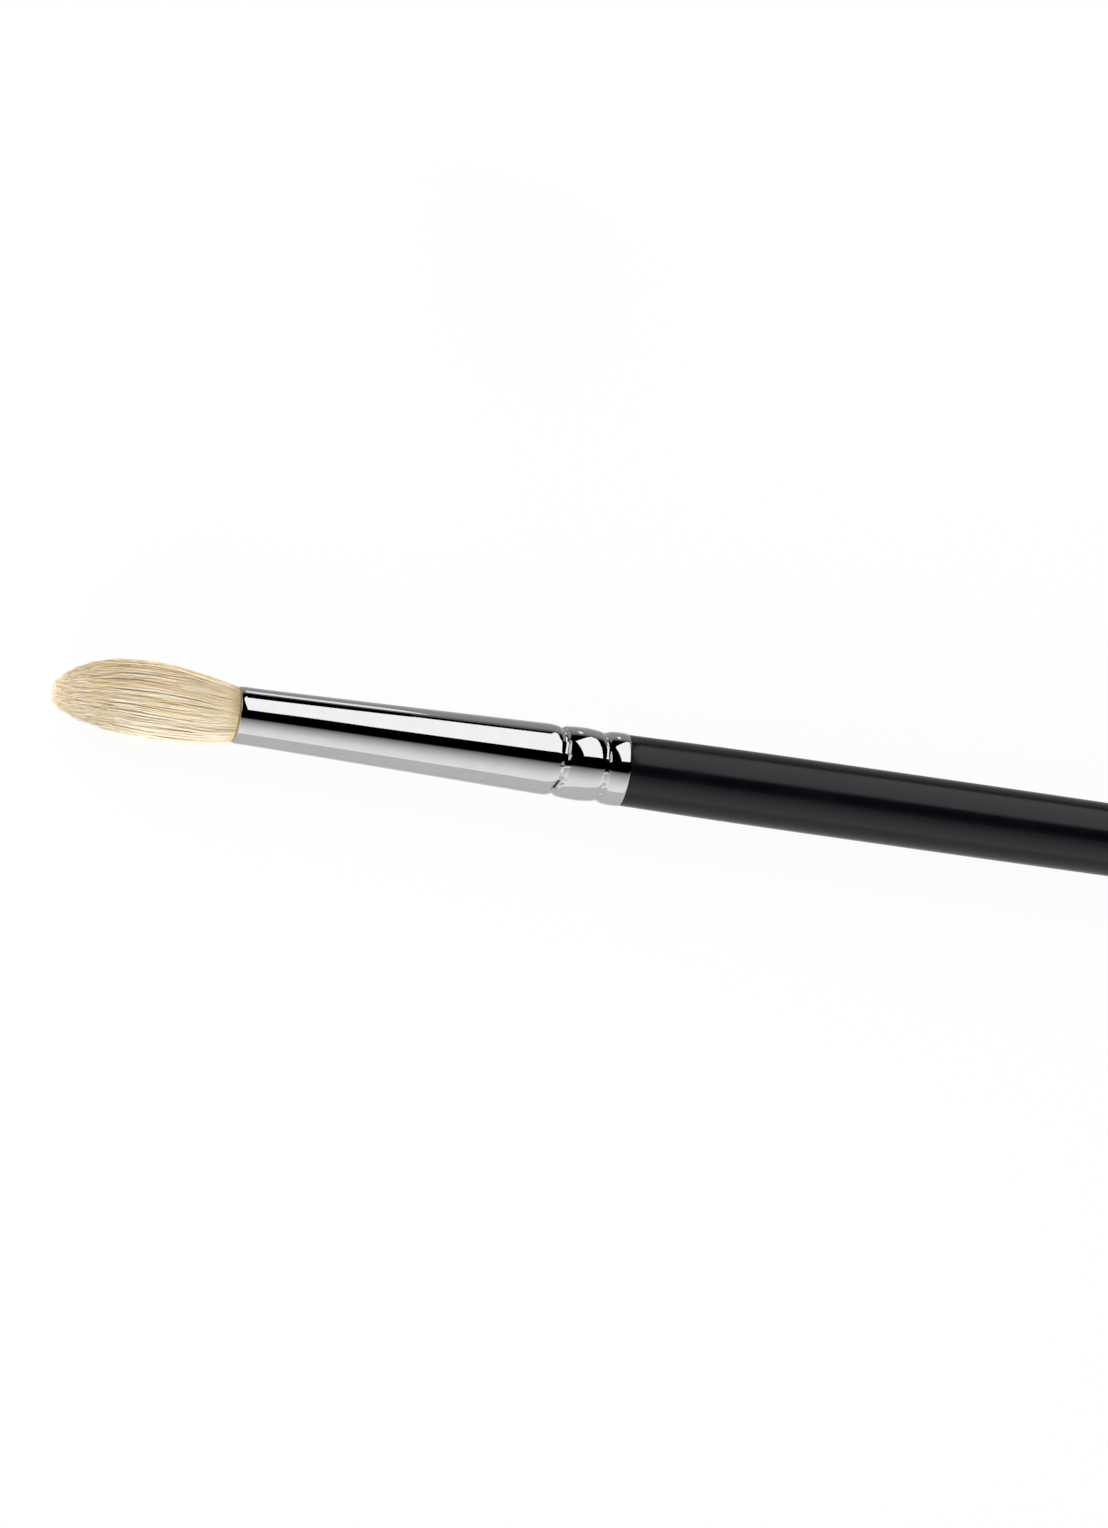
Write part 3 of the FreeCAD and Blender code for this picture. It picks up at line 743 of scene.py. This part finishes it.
# The world goes round the brush's axis by angle: 0 is the horizon on the near side, 90 is overhead, and the
# lower half is the floor as the metal and the lacquer mirror it. The camera sees it white.
wall_levels = [
    (-180, 0.15), (-175, 0.23), (-165, 0.33), (-155, 0.32), (-145, 0.36), (-135, 0.45), (-125, 0.56),
    (-110, 0.66), (-95, 0.84), (-85, 0.78), (-75, 0.63), (-65, 0.58), (-55, 0.61), (-45, 0.64), (-5, 0.65),
    (-0.5, 0.65), (0, 1.05), (10, 1.02), (20, 0.96), (30, 0.85), (40, 0.68), (50, 0.51), (60, 0.30),
    (65, 0.18), (67.5, 0.04), (69, 0.0), (174, 0.0), (177, 0.09), (180, 0.15)]
world = bpy.data.worlds.new("studio")
bpy.context.scene.world = world
world.use_nodes = True
world.node_tree.nodes.clear()
add = adder(world.node_tree)
way = add("ShaderNodeSeparateXYZ", {0: add("ShaderNodeTexCoord", {}).outputs["Generated"]})
near = add("ShaderNodeMath", {0: way.outputs["Y"], 1: -1.0}, operation="MULTIPLY").outputs[0]
turn = add("ShaderNodeMath", {0: way.outputs["Z"], 1: near}, operation="ARCTAN2").outputs[0]
turn_share = add("ShaderNodeMath", {0: turn, 1: 0.5 / math.pi, 2: 0.5}, operation="MULTIPLY_ADD").outputs[0]
walls = ramp(add("ShaderNodeValToRGB", {0: turn_share}), *[
    (0.5 + angle / 360, (level, level, level * 1.01)) for angle, level in wall_levels])
seen = add("ShaderNodeLightPath", {}).outputs["Is Camera Ray"]
shown = add("ShaderNodeMix", {0: seen, 6: walls, 7: (1, 1, 1, 1)}, data_type="RGBA").outputs[2]
light = add("ShaderNodeBackground", {"Color": shown, "Strength": 1.0})
add("ShaderNodeOutputWorld", {"Surface": light.outputs[0]})


def soft_lamp(name, place, aim, size, watts, colour):
    """A large square lamp that no mirror shows."""
    lamp = bpy.data.lights.new(name, "AREA")
    lamp.size = size
    lamp.energy = watts
    lamp.color = colour
    holder = bpy.data.objects.new(name, lamp)
    bpy.context.scene.collection.objects.link(holder)
    holder.location = place
    holder.rotation_mode = "QUATERNION"
    holder.rotation_quaternion = (Vector(aim) - Vector(place)).to_track_quat("-Z", "Y")
    holder.visible_glossy = False
    holder.visible_camera = False


tuft_place = (-0.08, 0, 0)
soft_lamp("near_fill", (-0.36, -0.74, 0.30), tuft_place, 0.40, 7.6, (0.85, 0.92, 1.0))
soft_lamp("far_fill", (-0.46, 0.56, 0.46), tuft_place, 0.80, 10.5, (0.99, 0.99, 0.99))


# The camera, on a long lens, looks down on the brush from 75 degrees about its axis and a little from the
# tuft's end. It is rolled, so that the handle runs down to the right.
picture_width, picture_height = 1108, 1528
pixels_per_mm = 11.47
mouth_pixel = Vector((235.2, 714.6))        # where the middle of the ferrule's mouth is in the picture
towards_tuft = 0.217                        # the sine of the view's lean towards the tuft's end
roll = math.radians(8.15)
distance = 1.5
cross = math.sqrt(1 - towards_tuft ** 2)
back = Vector((-towards_tuft, -cross * math.cos(camera_height_angle), cross * math.sin(camera_height_angle)))
axis_way = (Vector((1, 0, 0)) - back * back.x).normalized()
above_axis = back.cross(axis_way)
right = axis_way * math.cos(roll) + above_axis * math.sin(roll)
up = back.cross(right)
offset = (Vector((picture_width / 2, picture_height / 2)) - mouth_pixel) * (mm / pixels_per_mm)
aim = Vector((mouth, 0, axis_height)) + right * offset.x - up * offset.y
lens = bpy.data.cameras.new("camera")
lens.sensor_width = 36.0
lens.lens = lens.sensor_width * distance / (picture_height / pixels_per_mm * mm)
lens.clip_start, lens.clip_end = 0.01, 100
camera = bpy.data.objects.new("camera", lens)
bpy.context.scene.collection.objects.link(camera)
camera.matrix_world = Matrix((
    (right.x, up.x, back.x, aim.x + back.x * distance),
    (right.y, up.y, back.y, aim.y + back.y * distance),
    (right.z, up.z, back.z, aim.z + back.z * distance),
    (0, 0, 0, 1)))
bpy.context.scene.camera = camera
bpy.context.scene.view_settings.view_transform = "Standard"
